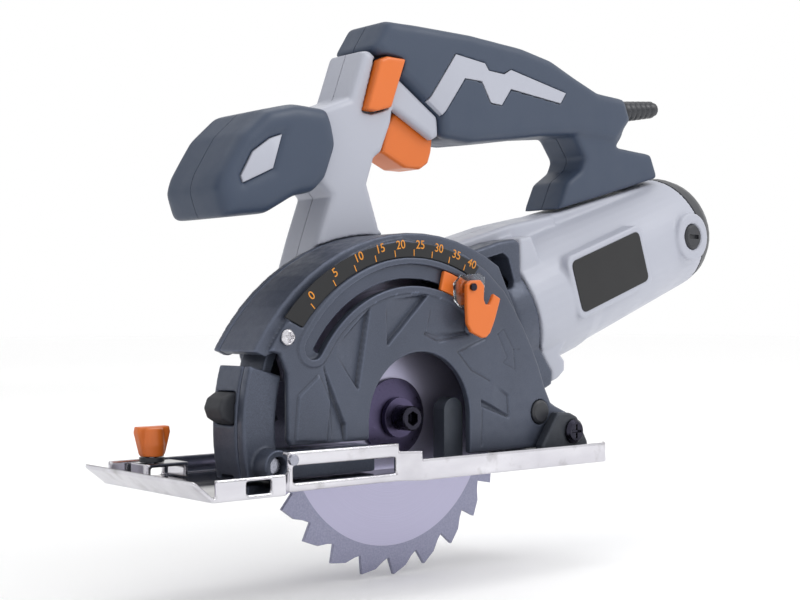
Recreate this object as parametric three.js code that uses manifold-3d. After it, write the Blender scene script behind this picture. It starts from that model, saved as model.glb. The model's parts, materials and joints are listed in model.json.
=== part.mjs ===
import * as THREE from "three";
import { mergeVertices } from "three/addons/utils/BufferGeometryUtils.js";
import Module from "manifold-3d";

// Track plunge saw, in mm. x = 0 at the blade axis, +X to the rear, y = 0 at the handle seam,
// z = 0 at the sole. The blade side faces -Y. Shown fully plunged.

const wasm = await Module();
wasm.setup();

// Blade and its axis.
const BLADE_RADIUS = 62.5;
const BLADE_TEETH = 24;
const BLADE_Y = -20;
const AXIS_Z = 21;
const BLADE_THICK = 1.6;

// Motor: its axis leans up to the rear and passes above the blade axis.
const MOTOR_TILT = THREE.MathUtils.degToRad(19);
const MOTOR_N = 14.5;
const HOUSING_RADIUS = 30;

// Base.
const BASE_FRONT = -108.5;
const BASE_REAR = 92;
const SHEET = 1.6;
const RAIL_Y = -58;
const FAR_RAIL_Y = 14;
const PIVOT_X = 80;
const PIVOT_Z = 12.5;

// Guide clamp.
const GUIDE_X = -94.4;
const GUIDE_Y = 4;

// Guards.
const COVER_FACE_Y = -38.5;
const DEPTH_REST = 64.8;
const SLOT_CENTRE = [-3.8, 20];
const SLOT_INNER = 52.7;
const SLOT_OUTER = 61.2;
const SLOT_START = 58;
const SLOT_END = 149;
const COVER_WALL = 3.2;
const COVER_BACK_Y = -13.3;
const GUARD_SCREW = [-64.6, 53.4];
const LOWER_GUARD_RADIUS = 80;

// Gears.
const GEAR_MODULE = 1;
const SPINDLE_TEETH = 30;
const PINION_TEETH = 14;
const IDLER_S = 16.55;
const CROWN_TEETH = 28;
const CROWN_REACH = 13.1;
const MOTOR_PINION_TEETH = 8;
const LOCK_RADIUS = 2;
const LOCK_AT = [-11.5, 17.4];

// Handle.
const HALF_WIDTH = 12;
const LABEL_FACE_Y = -31.2;
const PARTING_S = 84;
const STUD_RADIUS = 58;
const BRUSH_S = 198;
const SEAM_GAP = 0.15;

const GAP = 0.3;

const look = (color, roughness = 0.6, metalness = 0) => () =>
  new THREE.MeshStandardMaterial({ color, roughness, metalness });
const gunmetal = look(0x6b7280, 0.55, 0.5);
const lightGrey = look(0xc4c8d2);
const slate = look(0x48566a, 0.7);
const orange = look(0xe8803f);
const chrome = look(0xd8d8dc, 0.15, 1);
const steel = look(0xa9adb8, 0.3, 0.9);
const black = look(0x1a1b1e, 0.7);
const darkCast = look(0x2e3138, 0.6, 0.4);
const copper = look(0xb0703a, 0.4, 0.8);
const clear = look(0xd9e2e8, 0.1);

const object = new THREE.Group();
object.name = "track_plunge_saw";

function solid(geometry) {
  geometry.deleteAttribute("normal");
  geometry.deleteAttribute("uv");
  const merged = mergeVertices(geometry, 1e-4);
  return new wasm.Manifold(
    new wasm.Mesh({
      numProp: 3,
      vertProperties: merged.attributes.position.array,
      triVerts: new Uint32Array(merged.index.array),
    }),
  );
}

const join = (...pieces) => pieces.reduce((a, b) => a.add(b));
const cut = (piece, ...tools) => tools.reduce((a, b) => a.subtract(b), piece);

function part(name, piece, material) {
  const found = piece.getMesh();
  const positions = new Float32Array(found.numVert * 3);
  for (let i = 0; i < found.numVert; i += 1) {
    const start = i * found.numProp;
    positions.set(found.vertProperties.subarray(start, start + 3), i * 3);
  }
  const geometry = new THREE.BufferGeometry();
  geometry.setAttribute("position", new THREE.BufferAttribute(positions, 3));
  geometry.setIndex(new THREE.BufferAttribute(found.triVerts, 1));
  const mesh = new THREE.Mesh(geometry, material());
  mesh.name = name;
  object.add(mesh);
  return mesh;
}

// A point of the leaning motor frame (s along the motor axis, n across it) as [x, z].
function leaning([s, n]) {
  const c = Math.cos(MOTOR_TILT);
  const k = Math.sin(MOTOR_TILT);
  return [s * c - n * k, AXIS_Z + s * k + n * c];
}

function lean(geometry) {
  return geometry.rotateY(-MOTOR_TILT).translate(0, 0, AXIS_Z);
}

function shapeOf(points) {
  return new THREE.Shape(points.map(([x, z]) => new THREE.Vector2(x, z)));
}

// A closed outline grown outward by a distance.
function grown(points, distance) {
  const count = points.length;
  const next = (i) => points[(i + 1) % count];
  const area = points.reduce((sum, [x, z], i) => sum + x * next(i)[1] - next(i)[0] * z, 0);
  return points.map(([x, z], i) => {
    const before = new THREE.Vector2(...points[(i + count - 1) % count]);
    const here = new THREE.Vector2(x, z);
    const arriving = here.clone().sub(before).normalize();
    const leaving = new THREE.Vector2(...next(i)).sub(here).normalize();
    const along = arriving.clone().add(leaving).normalize();
    const reach = (Math.sign(area) * distance) / Math.max(along.dot(arriving), 0.3);
    return [x + along.y * reach, z - along.x * reach];
  });
}

// A rectangle with rounded corners.
function roundedBox(x0, x1, z0, z1, radius) {
  return [
    ...arc(x1 - radius, z1 - radius, radius, 0, 90, 4),
    ...arc(x0 + radius, z1 - radius, radius, 90, 180, 4),
    ...arc(x0 + radius, z0 + radius, radius, 180, 270, 4),
    ...arc(x1 - radius, z0 + radius, radius, 270, 360, 4),
  ];
}

// A plate with an outline in the XZ plane, from y0 to y1, with its edges rounded by bevel.
function plateGeometry(shape, y0, y1, bevel = 0, bevelSegments = 2) {
  const geometry = new THREE.ExtrudeGeometry(shape, {
    depth: y1 - y0 - 2 * bevel,
    bevelEnabled: bevel > 0,
    bevelThickness: bevel,
    bevelSize: bevel,
    bevelOffset: -bevel,
    bevelSegments,
    curveSegments: 10,
  });
  return geometry.rotateX(Math.PI / 2).translate(0, y1 - bevel, 0);
}

const plate = (points, y0, y1, bevel = 0) =>
  solid(plateGeometry(shapeOf(points), y0, y1, bevel));
const leanPlate = (points, y0, y1, bevel = 0) => plate(points.map(leaning), y0, y1, bevel);

function box(x0, x1, y0, y1, z0, z1) {
  const geometry = new THREE.BoxGeometry(x1 - x0, y1 - y0, z1 - z0);
  return solid(geometry.translate((x0 + x1) / 2, (y0 + y1) / 2, (z0 + z1) / 2));
}

// An outline seen from above, from z0 to z1.
function standing(points, z0, z1) {
  const geometry = new THREE.ExtrudeGeometry(shapeOf(points), {
    depth: z1 - z0,
    bevelEnabled: false,
  });
  return solid(geometry.translate(0, 0, z0));
}

// A turned piece about a line along Y through (x, z); profile holds [radius, y] with y rising.
function turned(profile, x, z, segments = 32) {
  const points = profile.map(([r, y]) => new THREE.Vector2(r, y));
  return solid(new THREE.LatheGeometry(points, segments).translate(x, 0, z));
}

// A rod along Y.
const rod = (radius, y0, y1, x, z, segments = 32) =>
  turned([[0, y0], [radius, y0], [radius, y1], [0, y1]], x, z, segments);

// A tube along Y.
const ring = (outer, inner, y0, y1, x, z, segments = 20) =>
  turned([[inner, y0], [outer, y0], [outer, y1], [inner, y1], [inner, y0]], x, z, segments);

// A turned piece along the motor axis; profile holds [radius, s] with s rising.
function motorTurned(profile, segments = 32) {
  const points = profile.map(([r, s]) => new THREE.Vector2(r, s));
  const geometry = new THREE.LatheGeometry(points, segments).rotateZ(-Math.PI / 2);
  return solid(lean(geometry.translate(0, 0, MOTOR_N)));
}

// A turned piece standing along Z at (x, y); profile holds [radius, z] with z rising.
function upright(profile, x, y, segments = 24) {
  const points = profile.map(([r, z]) => new THREE.Vector2(r, z));
  return solid(new THREE.LatheGeometry(points, segments).rotateX(Math.PI / 2).translate(x, y, 0));
}

// A sector of a ring about the blade axis, from angle a to angle b in degrees.
function sector(inner, outer, a, b, steps = 16) {
  const points = [];
  for (let i = 0; i <= steps; i += 1) points.push(polar(outer, a + ((b - a) * i) / steps));
  for (let i = steps; i >= 0; i -= 1) points.push(polar(inner, a + ((b - a) * i) / steps));
  return points;
}

function polar(radius, degrees) {
  const angle = THREE.MathUtils.degToRad(degrees);
  return [radius * Math.cos(angle), AXIS_Z + radius * Math.sin(angle)];
}

// An arc about (cx, cz), from angle a to angle b in degrees.
function arc(cx, cz, radius, a, b, steps) {
  const points = [];
  for (let i = 0; i <= steps; i += 1) {
    const angle = THREE.MathUtils.degToRad(a + ((b - a) * i) / steps);
    points.push([cx + radius * Math.cos(angle), cz + radius * Math.sin(angle)]);
  }
  return points;
}

// The outline of a spur gear about (cx, cz), with plain flat-sided teeth.
function gearOutline(teeth, module, cx, cz, phase = 0) {
  const pitch = (teeth * module) / 2;
  const root = pitch - 1.2 * module;
  const tip = pitch + 0.85 * module;
  const step = (2 * Math.PI) / teeth;
  const points = [];
  for (let i = 0; i < teeth; i += 1) {
    const at = i * step + phase;
    for (const [radius, turn] of [[root, -0.3], [tip, -0.12], [tip, 0.12], [root, 0.3]]) {
      const angle = at + turn * step;
      points.push([cx + radius * Math.cos(angle), cz + radius * Math.sin(angle)]);
    }
  }
  return points;
}

function bladeOutline() {
  const points = [];
  const step = 360 / BLADE_TEETH;
  const firstTip = 210.906;
  const gullet = BLADE_RADIUS - 7;
  for (let i = 0; i < BLADE_TEETH; i += 1) {
    const tip = firstTip + i * step;
    points.push(polar(BLADE_RADIUS, tip));
    points.push(polar(BLADE_RADIUS - 2.5, tip + 6));
    points.push(polar(gullet + 1.5, tip + 9.5));
    points.push(polar(gullet, tip + 12.5));
  }
  return points;
}

function makeBase() {
  const slot = box(-66, 64, BLADE_Y - 7, BLADE_Y + 7, -1, 5);
  const floor = standing(
    [
      [BASE_FRONT, RAIL_Y],
      [-79, RAIL_Y],
      [-73, -51.5],
      [-22.5, -51.5],
      [-15, -56],
      [BASE_REAR - 4, -56],
      [BASE_REAR, -52],
      [BASE_REAR, FAR_RAIL_Y],
      [BASE_FRONT, FAR_RAIL_Y],
    ],
    0,
    SHEET,
  );
  const near = (x0, y0, x1, y1, height) =>
    standing([[x0, y0], [x1, y1], [x1, y1 + SHEET], [x0, y0 + SHEET]], 0, height);
  const frontRail = cut(
    near(-107, RAIL_Y, -79, RAIL_Y, 7.4),
    box(-95, -84.6, RAIL_Y - 1, RAIL_Y + 3, 1.6, 6),
  );
  const frontJog = near(-79.2, RAIL_Y, -72.8, -51.5, 7.4);
  const raisedRail = cut(
    join(near(-73, -51.5, -22.5, -51.5, 14), box(-73, -22.5, -51.5, -47, 12.6, 14)),
    box(-71, -24, -53, -49, 3, 9),
  );
  const rearJog = near(-22.6, -51.5, -15, -56, 11);
  const rearRail = join(
    near(-15.2, -56, BASE_REAR - 4, -56, 8),
    near(BASE_REAR - 4.2, -56, BASE_REAR, -52, 8),
  );
  const farRail = cut(
    box(BASE_FRONT + 1.5, BASE_REAR, FAR_RAIL_Y - SHEET, FAR_RAIL_Y, 0, 8),
    box(-95, -84.6, FAR_RAIL_Y - 3, FAR_RAIL_Y + 1, 1.6, 6),
  );
  const lip = plate(
    [[BASE_FRONT + 0.5, 0], [-116, 6.2], [-116, 7.6], [-115, 7.4], [BASE_FRONT + 0.5, SHEET]],
    RAIL_Y,
    FAR_RAIL_Y,
  );
  const base = join(floor, frontRail, frontJog, raisedRail, rearJog, rearRail, farRail, lip);
  part("base_plate", cut(base, slot), chrome);
  const post = join(
    box(17, 27, -33, -26.6, SHEET + GAP, 24),
    rod(5, -33, -26.6, 22, 23.4, 20),
  );
  part("stop_post", post, darkCast);
  part("rail_rivet", rod(1.9, -53.2, -51.8, -71.8, 11.2, 16), steel);
}

function makeGuideClamp() {
  const bridge = join(
    box(-99.8, -82.6, GUIDE_Y - 6, GUIDE_Y + 6, 6.1, 7.5),
    box(-99.8, -98.2, GUIDE_Y - 6, GUIDE_Y + 6, SHEET + GAP, 6.5),
    box(-84.2, -82.6, GUIDE_Y - 6, GUIDE_Y + 6, SHEET + GAP, 6.5),
  );
  const hole = upright([[0, 4], [2.4, 4], [2.4, 8], [0, 8]], GUIDE_X, GUIDE_Y);
  part("guide_bridge", cut(bridge, hole), chrome);
  const stud = [[0, 6.2], [2, 6.2], [2, 18], [0, 18]];
  part("guide_stud", upright(stud, GUIDE_X, GUIDE_Y, 16), steel);
  const washer = [[2.4, 7.8], [4.6, 7.8], [4.6, 9.4], [2.4, 9.4], [2.4, 7.8]];
  part("guide_washer", upright(washer, GUIDE_X, GUIDE_Y, 20), black);
  const knobBody = upright([[0, 9.8], [4.4, 9.8], [4.8, 14], [4.2, 20], [0, 20.4]], GUIDE_X, GUIDE_Y);
  const wings = plate(
    [
      [GUIDE_X - 4.6, 10.4],
      [GUIDE_X + 4.6, 10.4],
      [GUIDE_X + 6.8, 18.5],
      [GUIDE_X + 6.4, 20.7],
      [GUIDE_X - 6.4, 20.7],
      [GUIDE_X - 6.8, 18.5],
    ],
    GUIDE_Y - 2.2,
    GUIDE_Y + 2.2,
    0.8,
  );
  const bore = upright([[0, 9], [2.3, 9], [2.3, 18.4], [0, 18.4]], GUIDE_X, GUIDE_Y, 16);
  part("guide_knob", cut(join(knobBody, wings), bore), orange);
}

// A cross recess for a screw head, open toward the blade side.
function cross(reach, floor, x, z) {
  const arm = 0.55;
  return join(
    box(x - reach, x + reach, -60, floor, z - arm, z + arm),
    box(x - arm, x + arm, -60, floor, z - reach, z + reach),
  );
}

function makePivot() {
  const ear = [
    [61.5, SHEET + GAP],
    [61.5, 7.5],
    [71, 20.7],
    [78.6, 20.3],
    [82.8, 18.5],
    [89.3, 7.8],
    [89.6, SHEET + GAP],
  ];
  const foot = box(65.5, 89.6, -45, -4.2, SHEET + GAP, 3.4);
  const ears = join(plate(ear, -45, -40.2, 0.8), plate(ear, -8.8, -4.2, 0.8), foot);
  const bore = rod(3.3, -50, 0, PIVOT_X, PIVOT_Z);
  part("pivot_bracket", cut(ears, bore), darkCast);
  const head = [[0, -47], [4, -47], [5.2, -45.9], [5.2, -45.3], [3, -45.3], [3, -3], [0, -3]];
  part("pivot_screw", cut(turned(head, PIVOT_X, PIVOT_Z, 24), cross(3, -45.9, PIVOT_X, PIVOT_Z)), steel);
  const points = [];
  const turns = 4;
  for (let i = 0; i <= turns * 12; i += 1) {
    const angle = (i * Math.PI) / 6;
    const y = -27 + (8 * i) / (turns * 12);
    points.push(new THREE.Vector3(5.2 * Math.cos(angle), y, 5.2 * Math.sin(angle)));
  }
  const wire = new THREE.Shape().absarc(0, 0, 0.7, 0, 2 * Math.PI);
  const coil = new THREE.ExtrudeGeometry(wire, {
    steps: turns * 12,
    curveSegments: 3,
    extrudePath: new THREE.CatmullRomCurve3(points),
  });
  part("return_spring", solid(coil.translate(PIVOT_X, 0, PIVOT_Z)), steel);
}

function makeLowerGuard() {
  const start = 163.8;
  const end = 192.4;
  const foot = [[-78, 2.1], [-20, 2.1], [-20, 9], [-24, 12.6], [-66, 12.6], [-78, 12.6]];
  const slit = -29.5;
  const bossX = -70.5;
  const bossZ = 8;
  const body = join(
    plate(sector(71, LOWER_GUARD_RADIUS, start, end, 8), slit + GAP, -13.6, 0.8),
    plate(sector(67.6, 71.5, 143, end, 14), slit + GAP, -13.6),
    plate(foot, slit + GAP, -25),
    plate(foot, -16.6, -13.6),
  );
  const screwBore = rod(1.8, -45, -20, bossX, bossZ, 16);
  const bumperSeat = plate([[-90, 22], [-76, 22], [-76, 34], [-90, 34]], -27.5, -15.6);
  part("lower_guard_body", cut(body, screwBore, bumperSeat), gunmetal);
  const front = join(
    plate(sector(66, LOWER_GUARD_RADIUS, start, end, 8), -34, slit, 0.8),
    plate(foot, -34, slit),
    rod(5.8, -42, -33, bossX, bossZ, 24),
  );
  part("lower_guard_cover", cut(front, rod(3.4, -43, -36, bossX, bossZ, 20), screwBore), gunmetal);
  const bumper = [
    [-76.3, 22.3],
    [-80.5, 22.3],
    [-84, 24.4],
    [-85.4, 28],
    [-84, 31.6],
    [-80.5, 33.7],
    [-76.3, 33.7],
  ];
  part("front_bumper", plate(bumper.reverse(), -27.2, -15.9, 0.9), black);
  const screw = [[0, -39], [2.9, -39], [2.9, -36.3], [1.5, -36.3], [1.5, -21], [0, -21]];
  part("lower_guard_screw", turned(screw, bossX, bossZ, 16), steel);
}

// The pivot lobe shared by the guard cover and its back plate.
function lobeArc(radius) {
  return arc(PIVOT_X, PIVOT_Z, radius, 235, 425, 9);
}

// The flat face of the upper guard seen from the blade side.
function faceOutline() {
  return [
    [-63.4, 16.5],
    [-62.2, 14.4],
    [-26, 14.4],
    [-25, 6],
    [60, 6],
    ...lobeArc(8.4),
    [74, 24],
    ...arc(-44.3, -10.5, 121.7, 20, 38, 4),
    [46, 71.5],
    [36, 79.5],
    [23.6, 85.8],
    ...arc(4, 4, 87.5, 98, 146, 9),
    [-71.5, 48.6],
    [-67, 47.4],
    [-63.6, 40],
  ];
}

// The outer line of the guard's rim, grown or shrunk by a step.
function rimArc(step) {
  return [
    ...arc(-44.3, -10.5, 123 + step, 20, 34, 4),
    ...arc(0.5, 4.5, 89 + step, 60, 149, 16),
  ];
}

// The space the guard takes up, seen from the blade side, grown by a clearance.
function guardSpace(grow) {
  return [[-64, 6], [-26, 4], [79, 4], [79, 22], ...rimArc(grow), [-79, 44]];
}

function rimOutline() {
  return [
    [-63.4, 16.5],
    [-62.2, 14.4],
    [-26, 14.4],
    [-25, 6],
    [60, 6],
    ...lobeArc(8.4),
    [75, 25],
    ...rimArc(0),
    [-76.8, 48.4],
    [-72, 46.4],
    [-66, 48.4],
    [-63.6, 40],
  ];
}

function makeGuardCover() {
  const outer = join(
    plate(faceOutline(), COVER_FACE_Y, COVER_FACE_Y + 3.1, 1.2),
    plate(rimOutline(), COVER_FACE_Y + 2.4, COVER_BACK_Y, 0.8),
  );
  const inside = [
    [-90, 44],
    [-90, -5],
    [95, -5],
    [95, 21.5],
    [71.5, 24],
    ...rimArc(-3.6),
    [-75.5, 44],
  ];
  const cavity = plate(inside, COVER_FACE_Y + COVER_WALL, 0);
  const pinBore = rod(3.4, -50, 0, PIVOT_X, PIVOT_Z);
  const lobe = rod(8, COVER_FACE_Y + 0.4, -31, PIVOT_X, PIVOT_Z);
  const window = join(rod(26.2, -50, 0, 0, AXIS_Z, 48), box(-26.2, 26.2, -50, 0, -5, AXIS_Z));
  const slotSeat = plate(slotOutline(SLOT_INNER, SLOT_OUTER), -50, COVER_FACE_Y + 1.6);
  const slotGap = plate(slotBand(SLOT_INNER, 55.6, SLOT_START, SLOT_END, 24), -50, -30);
  const rim = plate(slotOutline(SLOT_INNER - 2.6, SLOT_OUTER + 2.4), COVER_FACE_Y - 0.8, COVER_FACE_Y + 1);
  const plugSeat = rod(5.3, -50, COVER_FACE_Y + 1.8, 66.5, 20.9, 20);
  const screwBore = rod(1.7, -50, -25, ...GUARD_SCREW, 16);
  const shell = cut(join(cut(outer, cavity, window), rim, lobe), slotSeat, slotGap);
  const seat = plate(labelOutline(0.3), COVER_FACE_Y - 1, COVER_FACE_Y + 0.8);
  part("guard_cover", cut(shell, seat, plugSeat, screwBore, pinBore), gunmetal);
  const label = plate(labelOutline(0), COVER_FACE_Y - 0.1, COVER_FACE_Y + 0.5);
  part("scale_label", label, black);
  const plug = [[0, -39.6], [4, -39.6], [5, -38.8], [5, -37], [0, -37]];
  part("guard_plug", turned(plug, 66.5, 20.9, 24), black);
  const screw = [[0, -40.6], [2, -40.6], [3, -39.8], [3, -38.8], [1.4, -38.8], [1.4, -34], [0, -34]];
  part("guard_screw", cut(turned(screw, ...GUARD_SCREW, 20), cross(2, -39.6, ...GUARD_SCREW)), chrome);
}

// A band about the centre of the depth slot.
function slotBand(inner, outer, a, b, steps) {
  return [
    ...arc(...SLOT_CENTRE, outer, a, b, steps),
    ...arc(...SLOT_CENTRE, inner, b, a, steps),
  ];
}

// A band about the centre of the depth slot with a round end at its front.
function slotOutline(inner, outer) {
  const middle = (inner + outer) / 2;
  const [x, z] = arc(...SLOT_CENTRE, middle, SLOT_END, SLOT_END + 1, 1)[0];
  return [
    ...arc(...SLOT_CENTRE, outer, SLOT_START, SLOT_END, 24),
    ...arc(x, z, (outer - inner) / 2, SLOT_END + 20, SLOT_END + 160, 7),
    ...arc(...SLOT_CENTRE, inner, SLOT_END, SLOT_START, 24),
  ];
}

// The band that carries the depth figures, grown by a clearance.
function labelOutline(grow) {
  return [
    ...arc(-3.4, 16.4, 67.5 - grow, 63 - grow, 143 + grow, 20),
    ...arc(-4.7, 11.1, 78.3 + grow, 140.8 + grow, 63 - grow, 16),
  ];
}

// The dark shoulder above the motor joint, grown by a clearance.
function shoulder(grow) {
  return grown([[60, 16], [83.7, 16], [84.2, 34.5], [87.4, 45.6], [68, 46.6], [60, 40]], grow);
}

// The dark lug under the motor joint, grown by a clearance.
function lowerLug(grow) {
  const outline = [
    [66, 4], [64, -10], [70, -17], [78, -19.5], [86.3, -19], [88.6, -14], [85, -3], [83.7, 4],
  ];
  return grown(outline, grow);
}

function makeGearCase() {
  const back = -9.2;
  const shoulderTop = [[52, 40], [51, 50.3], [60, 50.4], [76, 49.6], [85, 48], [87.6, 45.6], [84.5, 36]];
  const front = COVER_BACK_Y + GAP;
  const caseBack = 19.5;
  const caseEnd = PARTING_S - GAP;
  const idler = leaning([IDLER_S, MOTOR_N]);
  const backPlate = cut(
    plate(rimOutline(), front, back),
    rod(3.4, -50, 0, PIVOT_X, PIVOT_Z),
  );
  const caseOutline = [
    [-19, -2], [36, -15.8], [caseEnd, -15.8], [caseEnd, 45.8], [62, 46.4], [30, 44.6], [8, 40],
    [-14, 30], [-20, 12],
  ];
  const pocket = [[50, 29], [76.5, 29], [78.5, 31], [78.5, 41.5], [76, 44.3], [50, 46.5]];
  const wall = join(
    rod(18.3, back - 0.2, 8, 0, AXIS_Z, 40),
    rod(11.6, back - 0.2, caseBack, 0, AXIS_Z, 32),
    leanPlate(caseOutline, back - 0.2, caseBack, 2),
    leanPlate(shoulder(0), -26, back, 1.6),
    leanPlate(shoulderTop, -26, -HALF_WIDTH - GAP, 1.2),
    leanPlate(lowerLug(0), -26, back, 1.2),
    motorTurned([[0, 70], [29, 71], [30.4, 73], [30.4, caseEnd], [0, caseEnd]], 40),
  );
  const coverSpace = join(plate(guardSpace(0.4), -50, front), leanPlate(pocket, -50, -15));
  const gears = join(
    rod(16.7, -7.8, 4.4, 0, AXIS_Z, 40),
    rod(16.4, 3, 17.3, ...idler, 40),
    rod(8.6, -7.8, 4.4, ...idler, 24),
    rod(8.2, 4, 17.3, 0, AXIS_Z, 24),
    rod(8.2, -50, -7.5, 0, AXIS_Z, 24),
    rod(3.4, -12.4, -7.5, ...idler, 20),
    rod(LOCK_RADIUS + 0.6, 4, 30, ...LOCK_AT, 20),
    motorTurned([[0, 24], [6.4, 24], [6.4, 44], [14.2, 44], [14.2, 56], [8, 56], [8, 74], [27, 76], [27, 95], [0, 95]]),
  );
  const lidSeat = lidPlate(16.9, caseBack + 1, GAP);
  part("gear_case", cut(join(backPlate, cut(wall, coverSpace)), gears, lidSeat), gunmetal);
  const lid = cut(lidPlate(17.4, caseBack, 0), rod(LOCK_RADIUS + 0.6, 4, 30, ...LOCK_AT, 20));
  part("gear_case_lid", lid, gunmetal);
  const button = turned(
    [[0, 5.8], [LOCK_RADIUS, 5.8], [LOCK_RADIUS, 22.4], [4.6, 22.4], [4.6, 26.4], [3.8, 27.2], [0, 27.2]],
    ...LOCK_AT,
    24,
  );
  part("spindle_lock_button", button, black);
}

// The lid behind the gears, grown by a clearance.
function lidPlate(y0, y1, grow) {
  return join(
    rod(9.8 + grow, y0, y1, 0, AXIS_Z, 36),
    rod(18 + grow, y0, y1, ...leaning([IDLER_S, MOTOR_N]), 36),
  );
}

function makeSpindle() {
  const at = (profile, segments = 32) => turned(profile, 0, AXIS_Z, segments);
  const gear = plate(gearOutline(SPINDLE_TEETH, GEAR_MODULE, 0, AXIS_Z), -4.5, 2.5);
  const shaft = at([[0, -23.6], [5, -23.6], [5, -14], [5.9, -14], [5.9, -13], [5, -13], [5, 2], [4.5, 3], [4.5, 16], [0, 16]]);
  const tapped = rod(2.9, -30, -12, 0, AXIS_Z, 20);
  part("spindle", cut(join(gear, shaft), tapped), steel);
  const bore = rod(5.3, -40, 0, 0, AXIS_Z, 24);
  const innerFlange = at([[5.3, -19], [15.5, -19], [15.5, -17.4], [9, -14.3], [5.3, -14.3], [5.3, -19]]);
  part("inner_flange", innerFlange, steel);
  const body = plate(bladeOutline(), BLADE_Y - BLADE_THICK / 2, BLADE_Y + BLADE_THICK / 2);
  part("blade", cut(body, bore), steel);
  const outerFlange = at([[5.3, -23.4], [10, -23.4], [15.5, -22.4], [15.5, -21.1], [5.3, -21.1], [5.3, -23.4]]);
  part("outer_flange", outerFlange, steel);
  part("bolt_washer", at([[3.2, -26], [8, -26], [8, -23.9], [3.2, -23.9], [3.2, -26]], 24), steel);
  const bolt = at([[0, -33.5], [4.4, -33.5], [4.9, -33], [4.9, -26.3], [2.6, -26.3], [2.6, -13], [0, -13]], 24);
  part("blade_bolt", cut(bolt, rod(2.9, -35, -29.5, 0, AXIS_Z, 6)), black);
}

function makeIdler() {
  const [x, z] = leaning([IDLER_S, MOTOR_N]);
  const mesh = Math.atan2(z - AXIS_Z, x);
  const step = (2 * Math.PI) / PINION_TEETH;
  const bigStep = (2 * Math.PI) / SPINDLE_TEETH;
  const offset = ((mesh / bigStep) % 1) * bigStep;
  const phase = mesh + Math.PI + step / 2 + (offset * SPINDLE_TEETH) / PINION_TEETH;
  const pinion = plate(gearOutline(PINION_TEETH, GEAR_MODULE, x, z, phase), -4.5, 2.5);
  const shaft = turned([[0, -12], [3, -12], [3, -5], [4.6, -5], [4.6, 10.4], [3, 10.4], [3, 16], [0, 16]], x, z, 24);
  const disc = rod(15.6, 6, 10, x, z, 40);
  const teeth = [];
  for (let i = 0; i < CROWN_TEETH; i += 1) {
    const tooth = new THREE.BoxGeometry(4.6, 2.2, 1.1);
    tooth.translate(CROWN_REACH, 5, 0).rotateY((2 * Math.PI * i) / CROWN_TEETH + MOTOR_TILT);
    teeth.push(solid(tooth.translate(x, 0, z)));
  }
  part("idler_gear", join(pinion, shaft, disc, ...teeth), steel);
}

function makeMotor() {
  const pinionTeeth = [];
  for (let i = 0; i < MOTOR_PINION_TEETH; i += 1) {
    const tooth = new THREE.BoxGeometry(5, 1, 1.5);
    tooth.translate(0, 0, 3.4).rotateX((2 * Math.PI * (i + 0.5)) / MOTOR_PINION_TEETH);
    pinionTeeth.push(solid(lean(tooth.translate(IDLER_S + CROWN_REACH, 0, MOTOR_N))));
  }
  const shaft = motorTurned([[0, 26.8], [2.9, 26.8], [2.9, 40], [4, 40], [4, 113], [20, 113], [20, 165], [4, 165], [4, 187], [13, 187], [13, 206], [4, 206], [4, 219], [0, 219]], 24);
  part("rotor", join(shaft, ...pinionTeeth), copper);
  const blades = [];
  for (let i = 0; i < 12; i += 1) {
    const blade = new THREE.BoxGeometry(8, 1.2, 14);
    blade.translate(0, 0, 16.5).rotateX((2 * Math.PI * i) / 12);
    blades.push(solid(lean(blade.translate(90, 0, MOTOR_N))));
  }
  const hub = motorTurned([[4.2, 81], [23.5, 81], [23.5, 84], [10, 86.5], [10, 94], [4.2, 94], [4.2, 81]]);
  part("fan", join(hub, ...blades), black);
  part("stator", motorTurned([[21, 116], [26.2, 116], [26.2, 162], [21, 162], [21, 116]]), steel);
}

function makeBearings() {
  const [x, z] = leaning([IDLER_S, MOTOR_N]);
  part("spindle_bearing_front", ring(7.9, 5.3, -12.4, -8.6, 0, AXIS_Z, 24), steel);
  part("spindle_bearing_rear", ring(7.9, 4.8, 11, 15.6, 0, AXIS_Z, 24), steel);
  part("idler_bearing_rear", ring(7.9, 3.3, 11, 15.6, x, z, 24), steel);
  part("rotor_bearing_front", motorTurned([[4.3, 45], [13.9, 45], [13.9, 55.6], [4.3, 55.6], [4.3, 45]], 24), steel);
  part("rotor_bearing_rear", motorTurned([[4.3, 209], [10, 209], [10, 215], [4.3, 215], [4.3, 209]], 24), steel);
}

// A turned piece about a line in the mid-plane; profile holds [radius, distance from start].
function along(profile, startPoint, endPoint, segments = 24) {
  const [x0, z0] = leaning(startPoint);
  const [x1, z1] = leaning(endPoint);
  const points = profile.map(([r, d]) => new THREE.Vector2(r, d));
  const geometry = new THREE.LatheGeometry(points, segments).rotateZ(-Math.PI / 2);
  return solid(geometry.rotateY(-Math.atan2(z1 - z0, x1 - x0)).translate(x0, 0, z0));
}

function halves(name, piece, material) {
  const near = box(-200, 300, -100, -SEAM_GAP, -100, 300);
  const far = box(-200, 300, SEAM_GAP, 100, -100, 300);
  part(name + "_near", piece.intersect(near), material);
  part(name + "_far", piece.intersect(far), material);
}

// The room the trigger moves in.
function triggerRoom() {
  return [[73, 98], [66, 110], [56, 121], [48, 121], [36.4, 107], [37, 97], [49, 85], [62, 82], [73, 88]];
}

function buttonOutline(grow) {
  const g = grow;
  return [
    [45.8 - g, 135.7 + g], [32.4 - g, 118.3 - g], [37 - g, 116.4 - g],
    [45.2 + g, 116.1 - g], [59 + 1.5 * g, 132.9], [49.9 + g, 136.1 + g],
  ];
}

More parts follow.
